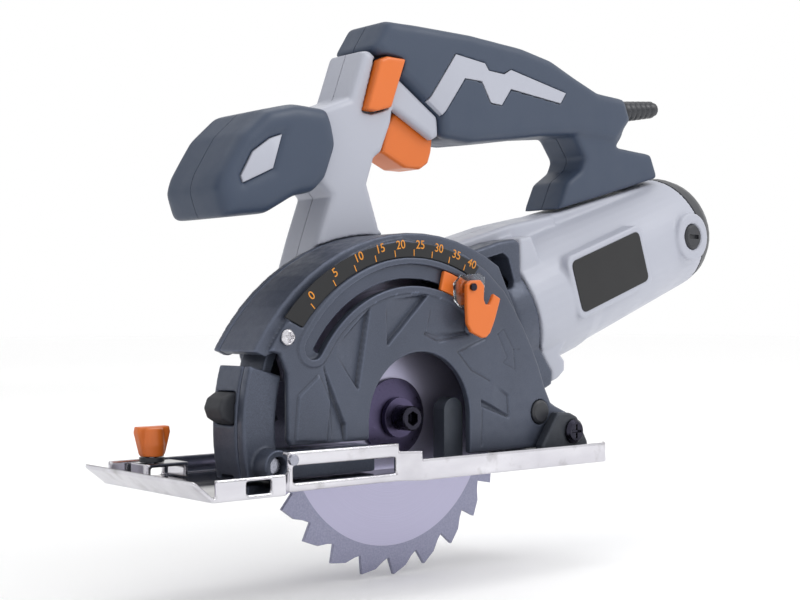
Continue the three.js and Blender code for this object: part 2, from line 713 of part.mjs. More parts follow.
// The motor housing with the front pillar of the handle, in two halves.
function makeHousing() {
  const barrel = [[0, PARTING_S], [31.2, PARTING_S], [31, 120], [HOUSING_RADIUS, 128], [28, 207.7], [0, 207.7]];
  const bore = [[0, 80], [27.2, 80], [26.8, 190], [25, 210], [0, 210]];
  const pillar = [
    [-16, 56], [-15, 63], [-5, 76.4], [6, 90], [1.7, 97.8], [10.5, 108.5], [11.4, 116.9], [11, 123.9],
    [28, 124.5], [33.3, 131], [41, 140.6],
    [44.4, 140.2], [52, 131], [55.7, 126.5], [66.1, 113.3], [71.8, 106.2], [69.7, 97.9], [65.5, 97.4],
    [48.6, 115], [46.4, 110], [37.2, 99.7], [32.9, 98.4],
    [25.9, 89.4], [26.1, 70.6], [29, 66], [60, 55], [60, 46.8], [30, 45], [8, 40.6], [-14, 46],
  ];
  const deck = [[20, 45.2], [62, 46.9], [84.3, 46.3], [84.3, 30], [126, 30], [126, 47.5], [97, 51.3], [66, 52.8], [40, 58]];
  const lightLug = [
    [84, 6], [84, -18.2], [92, -18.2], [97, -16.4], [98.4, -12], [96.3, -8.4], [101.1, -5.3], [101, 6],
  ];
  const topPad = [[126, 30], [206, 30], [206, 41], [165, 44.5], [126, 47.5]];
  const lugs = join(
    leanPlate([[84, 28], [84.9, 34.4], [88.2, 45.6], [88.8, 47], [96, 46.2], [99, 30]], -25, -8, 1),
    leanPlate(lightLug, -25, -8, 1),
  );
  const labelPad = leanPlate(roundedBox(107.2, 161, 3, 32.2, 4), LABEL_FACE_Y, -12, 0.6);
  const bosses = rod(11.5, -30, 30, ...leaning([BRUSH_S, MOTOR_N]), 32);
  const brushes = rod(6.2, -31, -26.6, ...leaning([BRUSH_S, MOTOR_N]), 32);
  const farBrushes = rod(6.2, 26.6, 31, ...leaning([BRUSH_S, MOTOR_N]), 32);
  const brushWay = rod(5, -31, 31, ...leaning([BRUSH_S, MOTOR_N]), 20);
  const shell = join(
    motorTurned(barrel, 48),
    leanPlate(pillar, -HALF_WIDTH, HALF_WIDTH, 2.5),
    leanPlate(deck, -HALF_WIDTH, HALF_WIDTH, 1.5),
    leanPlate(topPad, -10.5, 10.5, 1.5),
    lugs,
    labelPad,
    bosses,
  );
  const room = leanPlate(triggerRoom(), -8.2, 8.2);
  const buttonSeat = leanPlate(buttonOutline(0.8), -20, -6.8);
  const labelSeat = leanPlate(roundedBox(109.7, 158.3, 5.5, 29.7, 3), -40, LABEL_FACE_Y + 0.5);
  const guardRoom = join(
    plate(guardSpace(0.4), -50, -8.9),
    leanPlate(shoulder(GAP), -26.4, -8.9),
    leanPlate(lowerLug(GAP), -26.4, -8.9),
  );
  const tools = [motorTurned(bore, 40), brushes, farBrushes, brushWay, room, buttonSeat, labelSeat];
  halves("housing", cut(shell, guardRoom, ...tools), lightGrey);
}

// The dark grip with its rear pillar, in two halves.
function makeGrip() {
  const bar = [
    [45, 141.2], [56, 150], [73.2, 144.5], [101, 135], [130, 123.2], [146.8, 114.1],
    [160.1, 103.2], [173.4, 93], [190.8, 86], [192, 75], [178, 68], [152, 78], [129.8, 83],
    [106.9, 87], [86.4, 90.9], [75, 95.3],
    [70.1, 97.8], [72.15, 106.2], [66.45, 113.4], [56, 126.7],
  ];
  const pillar = [
    [175, 90], [192, 78], [184.8, 68.7], [179, 65.5], [203, 55.8], [204.2, 43.4], [165, 45.9],
    [131, 48.5], [141, 59], [152, 61.8], [156, 66], [151.3, 80],
  ];
  const switchRoom = [[68, 121], [98, 108], [103, 119], [73, 132]];
  const body = join(leanPlate(bar, -14, 14, 3), leanPlate(pillar, -HALF_WIDTH, HALF_WIDTH, 1.6));
  const reliefSeat = along([[0, -6], [6.2, -6], [6.2, 30], [0, 30]], [184, 82], [223.6, 74.3]);
  const cutOut = cut(
    body,
    leanPlate(triggerRoom(), -8.2, 8.2),
    leanPlate(switchRoom, -8.6, 8.6),
    leanPlate(buttonOutline(0.8), -20, -6.8),
    reliefSeat,
  );
  const inlay = [
    [65.6, 113], [88.3, 128.9], [103.7, 121.7], [105, 118.2], [113.9, 114.6], [118.5, 115.6],
    [149.9, 97.9], [145, 94.4], [115.8, 107.7], [107.9, 102.3], [102, 104.8], [99.6, 114.8],
    [90.1, 118.2], [71.4, 105.4],
  ];
  const skin = 11.6;
  const bed = join(
    leanPlate(grown(inlay, GAP), -20, -skin + GAP),
    leanPlate(grown(inlay, GAP), skin - GAP, 20),
  );
  const inlays = leanPlate(inlay, -20, 20).subtract(box(-100, 300, -skin, skin, -100, 300));
  halves("grip_inlay", cutOut.intersect(inlays), lightGrey);
  halves("grip", cut(cutOut, bed), slate);
  part("switch_body", leanPlate([[69, 121.6], [97.6, 109.2], [101.9, 118.6], [73.3, 131]], -8, 8), black);
  part("trigger", leanPlate(
    [
      [40.4, 99.3], [50.8, 89.8], [59, 87], [64, 88.3], [67.3, 92.5], [69.7, 97.8], [61, 107],
      [52.6, 113.2], [46, 108],
    ],
    -7.6,
    7.6,
    1.2,
  ), orange);
  part("lock_off_button", leanPlate(buttonOutline(0), -15.4, -9.6, 1), orange);
  const sleeve = [[0, -5], [5.8, -5], [5.8, 8.4], [4.8, 8.8]];
  for (let d = 9.6; d < 38; d += 4) {
    const r = 5.4 - (d - 9) * 0.04;
    sleeve.push([r, d], [r, d + 2.2], [r - 0.9, d + 2.8]);
  }
  sleeve.push([3.4, 42.4], [2.2, 42.8], [2.2, 30], [0, 30]);
  part("strain_relief", along(sleeve, [184, 82], [223.6, 74.3], 16), black);
}

// The front handle in two halves with an inset on each side.
function makeFrontHandle() {
  const outline = [
    [-48.5, 97], [-48.5, 108], [-45, 113], [-38, 119], [-31.5, 124.3], [-18.2, 130.2], [-4, 129],
    [10.6, 123.4], [11, 116.9], [10.1, 108.8], [1.2, 98], [-5.9, 94.6], [-14.9, 95.6], [-29.5, 93],
  ];
  const inset = [
    [-14.8, 119.4], [-22.9, 108.4], [-37.5, 106.9], [-37.6, 109.5], [-29.6, 116.6], [-20.6, 119.3],
  ];
  const half = 20;
  const seats = [];
  for (const side of [-1, 1]) {
    const reach = (a, b) => [Math.min(side * a, side * b), Math.max(side * a, side * b)];
    seats.push(leanPlate(grown(inset, 2), ...reach(half - 0.9, 30)));
    seats.push(leanPlate(grown(inset, GAP), ...reach(half - 2.4, 30)));
  }
  halves("front_handle", cut(leanPlate(outline, -half, half, 4), ...seats), slate);
  part("handle_inset_near", leanPlate(inset, -half + 0.4, -half + 2.1, 0.4), lightGrey);
  part("handle_inset_far", leanPlate(inset, half - 2.1, half - 0.4, 0.4), lightGrey);
}

function makeRear() {
  const cover = [[0, 208], [27.9, 208], [27, 213], [24.6, 218], [20, 221.6], [0, 222.4]];
  const pocket = [[0, 207], [10.3, 207], [10.3, 216], [6, 216], [6, 220], [0, 220]];
  const vents = [];
  for (let i = 0; i < 9; i += 1) {
    const vent = new THREE.BoxGeometry(12, 2, 9).translate(214, 0, 17.5);
    vents.push(solid(lean(vent.rotateX((2 * Math.PI * i) / 9).translate(0, 0, MOTOR_N))));
  }
  const at = leaning([BRUSH_S, MOTOR_N]);
  const bossRoom = rod(11.9, -40, 40, ...at, 32);
  const pockets = [motorTurned(pocket, 24), bossRoom, ...vents];
  part("rear_cover", cut(motorTurned(cover, 40), ...pockets), black);
  const cap = (side) => {
    const profile = [[0, -30.4], [5, -30.4], [5.9, -29.6], [5.9, -27], [0, -27]];
    const points = side < 0 ? profile : profile.map(([r, y]) => [r, -y]).reverse();
    const slot = box(at[0] - 3.6, at[0] + 3.6, side * 31 - 1.9, side * 31 + 1.9, at[1] - 1, at[1] + 1);
    return cut(turned(points, ...at, 28), slot);
  };
  part("brush_cap_near", cap(-1), black);
  part("brush_cap_far", cap(1), black);
  const brush = (y0, y1) => leanPlate([[195, 12], [201, 12], [201, 17], [195, 17]], y0, y1);
  part("brush_near", brush(-22, -13.4), black);
  part("brush_far", brush(13.4, 22), black);
  const label = leanPlate(roundedBox(110, 158, 5.8, 29.4, 2.7), LABEL_FACE_Y - 0.1, LABEL_FACE_Y + 0.4);
  part("blank_label", label, black);
}

// The depth stop: a carriage that slides in the guard's curved slot and a lever that clamps it.
function makeDepthStop() {
  const [x, z] = arc(...SLOT_CENTRE, STUD_RADIUS, DEPTH_REST, DEPTH_REST + 1, 1)[0];
  const inner = SLOT_INNER + GAP;
  const slider = plate(slotBand(inner, SLOT_OUTER - GAP, DEPTH_REST - 4, DEPTH_REST + 10.5, 6), -39.2, -37.2, 0.3);
  const tongue = plate(slotBand(inner, 55.3, DEPTH_REST - 3, DEPTH_REST + 3, 3), -38, -34.6);
  const foot = plate(slotBand(50.5, 59.5, DEPTH_REST - 4, DEPTH_REST + 4, 4), -34.9, -33.2);
  const bore = rod(1.3, -60, -38.4, x, z, 16);
  part("depth_carriage", cut(join(slider, tongue, foot, rod(2.6, -41.2, -38.9, x, z, 20)), bore), orange);
  const stud = [[0, -46.4], [1.5, -46.4], [1.5, -45.6], [1, -45.6], [1, -38.7], [0, -38.7]];
  part("depth_stud", turned(stud, x, z, 16), steel);
  const cursor = [
    [14, 67.3], [17, 64.6], [21.9, 64.6], [30.2, 70.7], [30.2, 76.7], [27.4, 78.2], [17.5, 77.2], [13.7, 74],
  ];
  part("depth_cursor", cut(plate(cursor, -42.8, -41.5, 0.3), bore), clear);
  const lever = [
    [18.1, 73.6], [20.5, 75.1], [25.5, 75.4], [27.7, 73.2], [27.4, 67.8], [28.3, 65.8], [30.5, 65.6],
    [31.6, 67.1], [33, 69.9], [36.7, 68.1], [35.8, 65.5], [33.6, 59.5], [31, 54.3], [28.8, 52.5],
    [26.6, 52.3], [20.8, 54.6], [18.6, 57.9], [18.1, 64.4],
  ];
  part("depth_lever", cut(plate(lever, -45.3, -43.1, 0.5), bore), orange);
}

makeBase();
makeGuideClamp();
makePivot();
makeLowerGuard();
makeGuardCover();
makeGearCase();
makeSpindle();
makeIdler();
makeMotor();
makeBearings();
makeHousing();
makeGrip();
makeFrontHandle();
makeRear();
makeDepthStop();

export default object;
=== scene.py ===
import json
import math

import bmesh
import bpy
import numpy as np
from mathutils import Matrix, Vector


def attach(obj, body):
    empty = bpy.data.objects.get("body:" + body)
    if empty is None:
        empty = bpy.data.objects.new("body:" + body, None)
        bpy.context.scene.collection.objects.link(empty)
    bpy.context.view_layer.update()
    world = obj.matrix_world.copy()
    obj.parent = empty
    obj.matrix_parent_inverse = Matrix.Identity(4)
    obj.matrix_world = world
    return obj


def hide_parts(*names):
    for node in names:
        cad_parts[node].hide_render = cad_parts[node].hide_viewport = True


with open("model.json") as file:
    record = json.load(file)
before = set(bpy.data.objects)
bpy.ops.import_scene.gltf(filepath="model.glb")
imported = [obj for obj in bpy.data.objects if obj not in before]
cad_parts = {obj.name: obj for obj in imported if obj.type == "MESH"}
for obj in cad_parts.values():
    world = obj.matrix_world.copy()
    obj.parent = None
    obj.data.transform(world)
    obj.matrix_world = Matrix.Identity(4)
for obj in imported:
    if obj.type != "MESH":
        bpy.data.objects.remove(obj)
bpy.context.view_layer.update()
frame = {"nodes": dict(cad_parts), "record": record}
nodes = frame["nodes"]
record = frame["record"]
slot_of = {s["node"]: s["material_slot"] for s in record["subparts"]}
body_of = {n: b for b, members in record["behaviour"]["bodies"].items() for n in members}

MM = 0.001
AXIS_HEIGHT = 21
TILT = math.radians(19)
SEAM = 0.15
FIGURE_Y = -38.65
FIGURE_SIZE = 4.7
FIGURE_RADIUS = 72.2
TICK_Y = -38.62
TICK_DEPTH = 0.06
TICK_RADII = (67.9, 70.4)
TICK_HALF_WIDTH = 0.2
SCALE_CENTRE = (-3.4, 16.4)
FLOOR_HEIGHT = -0.0422
JOIN_DISTANCE = 2e-6
BAND_RADIUS = 0.0508


def add_object(name, data):
    obj = bpy.data.objects.new(name, data)
    bpy.context.scene.collection.objects.link(obj)
    return obj


def made_mesh(name, bm):
    """Turns a finished bmesh into a mesh."""
    mesh = bpy.data.meshes.new(name)
    bm.to_mesh(mesh)
    bm.free()
    return mesh


def grey(value):
    return (value, value, value, 1)


def plain_finish(name, color):
    """A dull finish for the pieces of the stage."""
    material = bpy.data.materials.new(name)
    material.use_nodes = True
    shader = material.node_tree.nodes["Principled BSDF"]
    shader.inputs["Base Color"].default_value = color
    shader.inputs["Roughness"].default_value = 0.9
    return material


# ---------------------------------------------------------------- camera, lights, floor


def add_camera():
    azimuth = math.radians(-40.831)
    elevation = math.radians(-0.701)
    right = Vector((math.cos(azimuth), math.sin(azimuth), 0))
    back = Vector(
        (
            math.sin(azimuth) * math.cos(elevation),
            -math.cos(azimuth) * math.cos(elevation),
            math.sin(elevation),
        )
    )
    up = back.cross(right)
    turn = Matrix((right, up, back)).transposed().to_4x4()
    data = bpy.data.cameras.new("camera")
    data.lens = 61.695
    data.sensor_width = 36
    data.clip_start = 0.01
    data.clip_end = 50
    camera = add_object("camera", data)
    camera.matrix_world = Matrix.Translation((-0.35421, -0.43559, 0.06076)) @ turn
    bpy.context.scene.camera = camera


def add_area(name, place, target, size, power):
    data = bpy.data.lights.new(name, "AREA")
    data.shape = "RECTANGLE"
    data.size, data.size_y = size
    data.energy = power
    light = add_object(name, data)
    light.location = place
    aim = Vector(target) - Vector(place)
    light.rotation_euler = aim.to_track_quat("-Z", "Y").to_euler()


def add_card(name, place, facing, size):
    """A dark board outside the view that gives shine and shade something to answer to."""
    width, height = size
    bm = bmesh.new()
    corners = ((-width, -height), (width, -height), (width, height), (-width, height))
    bm.faces.new([bm.verts.new((x / 2, y / 2, 0)) for x, y in corners])
    card = add_object(name, made_mesh(name, bm))
    card.location = place
    card.rotation_euler = Vector(facing).to_track_quat("Z", "Y").to_euler()
    card.data.materials.append(plain_finish(name, (0.02, 0.02, 0.025, 1)))
    card.visible_camera = False


def add_studio():
    """A white room, two soft lights and a pale floor."""
    world = bpy.data.worlds.new("studio")
    bpy.context.scene.world = world
    world.use_nodes = True
    sky = world.node_tree.nodes["Background"]
    sky.inputs["Color"].default_value = grey(1)
    sky.inputs["Strength"].default_value = 1.0
    add_area("key", (0.7, -0.9, 1.0), (0.05, 0, 0.08), (0.5, 0.5), 4.5)
    add_area("top", (0.1, 0.2, 1.2), (0.05, 0, 0.1), (0.8, 0.8), 3.0)
    add_card("card_left", (-0.85, 0.28, 0.26), (1, -0.3, -0.1), (0.7, 0.75))
    add_card("card_back", (0.1, 1.6, 0.9), (0, -1, -0.3), (1.0, 0.5))
    add_card("card_front", (0.55, -1.0, 0.12), (-0.4, 1, 0), (0.09, 0.7))
    view = bpy.context.scene.view_settings
    view.view_transform = "Standard"
    bm = bmesh.new()
    bmesh.ops.create_grid(bm, x_segments=8, y_segments=8, size=6)
    floor = add_object("floor", made_mesh("floor", bm))
    floor.location = (0, 0, FLOOR_HEIGHT)
    floor.data.materials.append(plain_finish("floor", grey(0.99)))


# ---------------------------------------------------------------- materials


class Nodes:
    """A short way to build a material's node tree."""

    def __init__(self, name):
        self.material = bpy.data.materials.new(name)
        self.material.use_nodes = True
        self.tree = self.material.node_tree
        self.shader = self.tree.nodes["Principled BSDF"]
        self.place = self.add("ShaderNodeTexCoord").outputs["Object"]

    def add(self, kind, **settings):
        node = self.tree.nodes.new(kind)
        for key, value in settings.items():
            setattr(node, key, value)
        return node

    def link(self, a, b):
        self.tree.links.new(a, b)

    def noise(self, scale, detail=3, stretch=None):
        source = self.place
        if stretch:
            mapping = self.add("ShaderNodeMapping")
            mapping.inputs["Scale"].default_value = stretch
            self.link(self.place, mapping.inputs["Vector"])
            source = mapping.outputs["Vector"]
        node = self.add("ShaderNodeTexNoise")
        node.inputs["Scale"].default_value = scale
        node.inputs["Detail"].default_value = detail
        self.link(source, node.inputs["Vector"])
        return node.outputs["Fac"]

    def ramp(self, value, low, high, dark, light):
        node = self.add("ShaderNodeValToRGB")
        node.color_ramp.elements[0].position = low
        node.color_ramp.elements[1].position = high
        node.color_ramp.elements[0].color = dark
        node.color_ramp.elements[1].color = light
        self.link(value, node.inputs["Fac"])
        return node.outputs["Color"]

    def mix(self, fac, a, b, blend="MIX"):
        node = self.add("ShaderNodeMixRGB", blend_type=blend)
        for value, socket in ((fac, 0), (a, 1), (b, 2)):
            if hasattr(value, "links"):
                self.link(value, node.inputs[socket])
            else:
                node.inputs[socket].default_value = value
        return node.outputs[0]

    def math(self, kind, a, b=0.0):
        node = self.add("ShaderNodeMath", operation=kind)
        for value, socket in ((a, 0), (b, 1)):
            if hasattr(value, "links"):
                self.link(value, node.inputs[socket])
            else:
                node.inputs[socket].default_value = value
        return node.outputs[0]

    def bump(self, height, strength, distance, normal=None):
        node = self.add("ShaderNodeBump")
        node.inputs["Strength"].default_value = strength
        node.inputs["Distance"].default_value = distance
        self.link(height, node.inputs["Height"])
        if normal is not None:
            self.link(normal, node.inputs["Normal"])
        return node.outputs["Normal"]

    def edges(self, radius):
        """The rounded normal and a mask that is 1 along edges."""
        bevel = self.add("ShaderNodeBevel", samples=4)
        bevel.inputs["Radius"].default_value = radius
        plain = self.add("ShaderNodeNewGeometry").outputs["Normal"]
        dot = self.add("ShaderNodeVectorMath", operation="DOT_PRODUCT")
        self.link(bevel.outputs["Normal"], dot.inputs[0])
        self.link(plain, dot.inputs[1])
        mask = self.ramp(dot.outputs["Value"], 0.86, 0.995, grey(1), grey(0))
        return bevel.outputs["Normal"], mask


def rgb(code):
    values = [int(code[i : i + 2], 16) / 255 for i in (0, 2, 4)]
    return tuple(v / 12.92 if v <= 0.04045 else ((v + 0.055) / 1.055) ** 2.4 for v in values) + (1,)


def shade(color, factor):
    return tuple(min(1, c * factor) for c in color[:3]) + (1,)


def moulded(name, color, rough, grain=1400, depth=0.05, vary=0.08, edge_highlight=1.25, radius=0.0006, coat=0.0):
    """Moulded plastic or rubber: fine grain, slow colour change and a patchy painted highlight along the
    edges.
    """
    t = Nodes(name)
    normal, edge = t.edges(radius)
    slow = t.noise(28, 4)
    base = t.mix(slow, shade(color, 1 - vary), shade(color, 1 + vary))
    # Edges turned paler in noisy patches: a painted edge highlight.
    edge_highlight_mask = t.math("MULTIPLY", edge, t.math("MULTIPLY", t.noise(160, 5), 0.55))
    t.link(t.mix(edge_highlight_mask, base, shade(color, edge_highlight)), t.shader.inputs["Base Color"])
    rough_low, rough_high = grey(max(0, rough - 0.09)), grey(min(1, rough + 0.09))
    t.link(t.ramp(t.noise(70, 5), 0.3, 0.7, rough_low, rough_high), t.shader.inputs["Roughness"])
    t.link(t.bump(t.noise(grain, 2), depth, 0.0004, normal), t.shader.inputs["Normal"])
    t.shader.inputs["Coat Weight"].default_value = coat
    t.shader.inputs["Coat Roughness"].default_value = 0.25
    return t.material


def cast(name, color, rough=0.5, metal=0.35):
    """Fine speckled cast and painted alloy, with painted shade in its hollows and painted highlights on its
    ridges and edges.
    """
    t = Nodes(name)
    normal, edge = t.edges(0.0007)
    speck = t.ramp(t.noise(2600, 2), 0.3, 0.75, shade(color, 0.84), shade(color, 1.2))
    slow = t.ramp(t.noise(22, 4), 0.3, 0.7, grey(0.86), grey(1.1))
    base = t.mix(1.0, speck, slow, "MULTIPLY")
    # Edges turned much paler in noisy patches: a painted edge highlight.
    edge_highlight = t.math("MULTIPLY", edge, t.math("MULTIPLY", t.noise(240, 4), 1.3))
    crest = t.add("ShaderNodeNewGeometry").outputs["Pointiness"]
    # Hollows found by pointiness are darkened: painted shade in creases and recesses.
    crevice_shade = t.ramp(crest, 0.44, 0.495, grey(0.4), grey(1))
    # Crests found by pointiness are lightened: a painted highlight on ridges.
    ridge_highlight = t.math("MULTIPLY", t.ramp(crest, 0.515, 0.58, grey(0), grey(1)), 0.6)
    base = t.mix(ridge_highlight, t.mix(1.0, base, crevice_shade, "MULTIPLY"), shade(color, 2.2))
    t.link(t.mix(edge_highlight, base, shade(color, 2.4)), t.shader.inputs["Base Color"])
    t.shader.inputs["Metallic"].default_value = metal
    low, high = grey(rough - 0.08), grey(rough + 0.12)
    t.link(t.ramp(t.noise(300, 4), 0.3, 0.7, low, high), t.shader.inputs["Roughness"])
    t.link(t.bump(t.noise(2200, 3), 0.13, 0.0002, normal), t.shader.inputs["Normal"])
    return t.material


def metal(name, color, rough=0.28, stretch=None, depth=0.03, radius=0.0004):
    """Bare metal with fine machining marks and a painted highlight along the edges."""
    t = Nodes(name)
    normal, edge = t.edges(radius)
    marks = t.noise(900, 3, stretch)
    base = t.mix(marks, shade(color, 0.82), shade(color, 1.12))
    # Edges turned paler: a painted edge highlight.
    t.link(t.mix(t.math("MULTIPLY", edge, 0.3), base, shade(color, 1.3)), t.shader.inputs["Base Color"])
    t.shader.inputs["Metallic"].default_value = 1
    low, high = grey(max(0.04, rough - 0.07)), grey(rough + 0.1)
    t.link(t.ramp(marks, 0.3, 0.7, low, high), t.shader.inputs["Roughness"])
    t.link(t.bump(marks, depth, 0.0002, normal), t.shader.inputs["Normal"])
    return t.material


def plated(name):
    """Bright plating with faint wipe marks and small dull patches, painted dark brown-grey where it faces up
    as a painted reflection, and with a painted highlight along the edges.
    """
    t = Nodes(name)
    normal, edge = t.edges(0.0009)
    cloud = t.noise(45, 5, (1, 3, 3))
    base = t.mix(cloud, rgb("B4B2BA"), rgb("E2E1E6"))
    split = t.add("ShaderNodeSeparateXYZ")
    t.link(t.add("ShaderNodeNewGeometry").outputs["Normal"], split.inputs[0])
    # Faces that point up are painted dark brown-grey: a painted dark reflection.
    upward_dark_reflection = t.ramp(split.outputs[2], 0.75, 0.98, grey(0), grey(0.72))
    base = t.mix(upward_dark_reflection, base, rgb("4A4442"))
    grime = t.ramp(t.noise(90, 6), 0.56, 0.74, grey(0), grey(0.5))
    dulled = t.mix(grime, base, rgb("6B6764"))
    # Edges turned near white: a painted edge highlight.
    t.link(t.mix(t.math("MULTIPLY", edge, 0.5), dulled, rgb("F4F3F6")), t.shader.inputs["Base Color"])
    t.shader.inputs["Metallic"].default_value = 1
    t.link(t.ramp(cloud, 0.3, 0.75, grey(0.05), grey(0.16)), t.shader.inputs["Roughness"])
    t.link(t.bump(t.noise(60, 2), 0.03, 0.0006, normal), t.shader.inputs["Normal"])
    return t.material


def brushed_disc(name):
    """The blade: a bright middle with concentric brushing and a duller outer band."""
    t = Nodes(name)
    offset = t.add("ShaderNodeVectorMath", operation="SUBTRACT")
    offset.inputs[1].default_value = (0, 0, AXIS_HEIGHT * MM)
    t.link(t.place, offset.inputs[0])
    split = t.add("ShaderNodeSeparateXYZ")
    t.link(offset.outputs[0], split.inputs[0])
    x, z = split.outputs["X"], split.outputs["Z"]
    radius = t.math("SQRT", t.math("ADD", t.math("MULTIPLY", x, x), t.math("MULTIPLY", z, z)))
    rings = t.add("ShaderNodeCombineXYZ")
    t.link(t.math("MULTIPLY", radius, 5200), rings.inputs["X"])
    grain = t.add("ShaderNodeTexNoise")
    grain.inputs["Scale"].default_value = 1.0
    grain.inputs["Detail"].default_value = 6
    t.link(rings.outputs[0], grain.inputs["Vector"])
    inner = t.ramp(grain.outputs["Fac"], 0.3, 0.7, rgb("A4A1BC"), rgb("C0BED4"))
    outer = t.ramp(t.noise(1500, 4), 0.25, 0.75, rgb("84859B"), rgb("9899AE"))
    band = t.math("GREATER_THAN", radius, BAND_RADIUS)
    t.link(t.mix(band, inner, outer), t.shader.inputs["Base Color"])
    t.shader.inputs["Metallic"].default_value = 0.85
    t.link(
        t.ramp(grain.outputs["Fac"], 0.3, 0.7, grey(0.26), grey(0.42)),
        t.shader.inputs["Roughness"],
    )
    normal, _ = t.edges(0.0003)
    t.link(t.bump(grain.outputs["Fac"], 0.06, 0.0002, normal), t.shader.inputs["Normal"])
    return t.material


def clear(name):
    """Clear plastic with a faintly uneven surface."""
    t = Nodes(name)
    normal, _ = t.edges(0.0004)
    t.shader.inputs["Base Color"].default_value = (0.93, 0.96, 0.98, 1)
    t.shader.inputs["Transmission Weight"].default_value = 1
    t.shader.inputs["IOR"].default_value = 1.46
    t.link(t.ramp(t.noise(300, 4), 0.3, 0.7, grey(0.03), grey(0.12)), t.shader.inputs["Roughness"])
    t.link(t.bump(t.noise(400, 2), 0.02, 0.0002, normal), t.shader.inputs["Normal"])
    return t.material


LOOKS = {
    "chrome_plate": plated("chrome_plate"),
    "guard_cast": cast("guard_cast", rgb("4C5261"), 0.4, 0.4),
    "dark_cast": cast("dark_cast", rgb("30343C"), 0.45, 0.3),
    "steel": metal("steel", rgb("A4A6B2"), 0.25),
    "blade_steel": brushed_disc("blade_steel"),
    "black_steel": metal("black_steel", rgb("35343F"), 0.28, radius=0.0005),
    "violet_steel": metal("violet_steel", rgb("5A5470"), 0.34, depth=0.01, radius=0.0003),
    "light_plastic": moulded("light_plastic", rgb("AEB1BD"), 0.42, depth=0.05, vary=0.02, edge_highlight=1.14),
    "slate_rubber": moulded("slate_rubber", rgb("364256"), 0.5, grain=1900, depth=0.1, vary=0.05),
    "orange_plastic": moulded("orange_plastic", rgb("D96E28"), 0.38, depth=0.04, vary=0.04, edge_highlight=1.2),
    "black_plastic": moulded("black_plastic", rgb("2B2D33"), 0.42, depth=0.08, vary=0.1, edge_highlight=1.8),
    "black_rubber": moulded("black_rubber", rgb("2C2E34"), 0.6, depth=0.14, vary=0.1, edge_highlight=1.6),
    "label": moulded("label", rgb("0B0C10"), 0.42, depth=0.02, vary=0.06, edge_highlight=1.5),
    "clear_plastic": clear("clear_plastic"),
    "copper": metal("copper", rgb("B4703A"), 0.35),
    "carbon": moulded("carbon", rgb("2A2A2C"), 0.7, depth=0.2),
}


# ---------------------------------------------------------------- mesh helpers


def tidy_copy(node):
    """A copy of a CAD node's mesh with its doubled points joined, standing for the node."""
    mesh = nodes[node].data.copy()
    bm = bmesh.new()
    bm.from_mesh(mesh)
    bmesh.ops.remove_doubles(bm, verts=bm.verts, dist=JOIN_DISTANCE)
    bm.to_mesh(mesh)
    bm.free()
    return add_object(node + "_fine", mesh)


def settle(obj, node, look=None):
    """Gives a piece its finish and body, and hides the CAD node that it stands for."""
    slot = slot_of[node]
    obj.data.materials.clear()
    obj.data.materials.append(look or LOOKS[slot])
    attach(obj, body_of[node])
    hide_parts(node)


def apply_modifiers(obj):
    """Puts the mesh that the modifiers give in the place of the object's own."""
    bpy.context.view_layer.update()
    shown = obj.evaluated_get(bpy.context.evaluated_depsgraph_get())
    mesh = bpy.data.meshes.new_from_object(shown)
    obj.modifiers.clear()
    obj.data = mesh


def remesh(obj, voxel, rounds, keep=None):
    """Rebuilds a closed mesh as fine even quads with softly rounded edges, except where keep asks."""
    rebuild = obj.modifiers.new("remesh", "REMESH")
    rebuild.mode = "VOXEL"
    rebuild.voxel_size = voxel * MM
    rebuild.use_smooth_shade = True
    apply_modifiers(obj)
    soft = obj.modifiers.new("soft", "SMOOTH")
    soft.factor = 0.5
    soft.iterations = rounds
    if keep:
        zone = obj.vertex_groups.new(name="soft")
        for vertex in obj.data.vertices:
            zone.add([vertex.index], keep(vertex.co / MM), "REPLACE")
        soft.vertex_group = "soft"
    apply_modifiers(obj)


def crisp(obj, degrees=32):
    """Smooth shading with the sharp edges kept."""
    bm = bmesh.new()
    bm.from_mesh(obj.data)
    for face in bm.faces:
        face.smooth = True
    for edge in bm.edges:
        if len(edge.link_faces) == 2:
            edge.smooth = edge.calc_face_angle(0) < math.radians(degrees)
    bm.to_mesh(obj.data)
    bm.free()


# ---------------------------------------------------------------- the object


SOFT = {
    "lower_guard_body": (0.5, 2),
    "lower_guard_cover": (0.5, 2),
    "gear_case": (0.7, 3),
    "trigger": (0.5, 10),
    "lock_off_button": (0.4, 5),
    "front_bumper": (0.5, 5),
    "pivot_bracket": (0.5, 3),
    "guide_knob": (0.3, 3),
    "depth_lever": (0.3, 3),
    "depth_carriage": (0.3, 3),
    "base_plate": (0.42, 4),
    "guide_bridge": (0.35, 3),
}


def leaned(point):
    """The place (s, n) of a point in the leaning motor frame, in mm."""
    x, z = point.x, point.z - AXIS_HEIGHT
    return (x * math.cos(TILT) + z * math.sin(TILT), z * math.cos(TILT) - x * math.sin(TILT))


def near_outline(point, outline):
    """0 close to an outline on a handle's side face and 1 away from it."""
    if abs(point.y) < 9.5:
        return 1.0
    s, n = leaned(point)
    if not (outline[0] - 4 < s < outline[1] + 4 and outline[2] - 4 < n < outline[3] + 4):
        return 1.0
    reach = outline_reach(np.array([(s, n)]), outline[4])[0]
    return min(max((abs(reach) - 1.2) / 2.5, 0.06), 1.0)


def boxed(outline):
    """An outline with the box around it."""
    across = [p[0] for p in outline]
    upward = [p[1] for p in outline]
    return (min(across), max(across), min(upward), max(upward), outline)


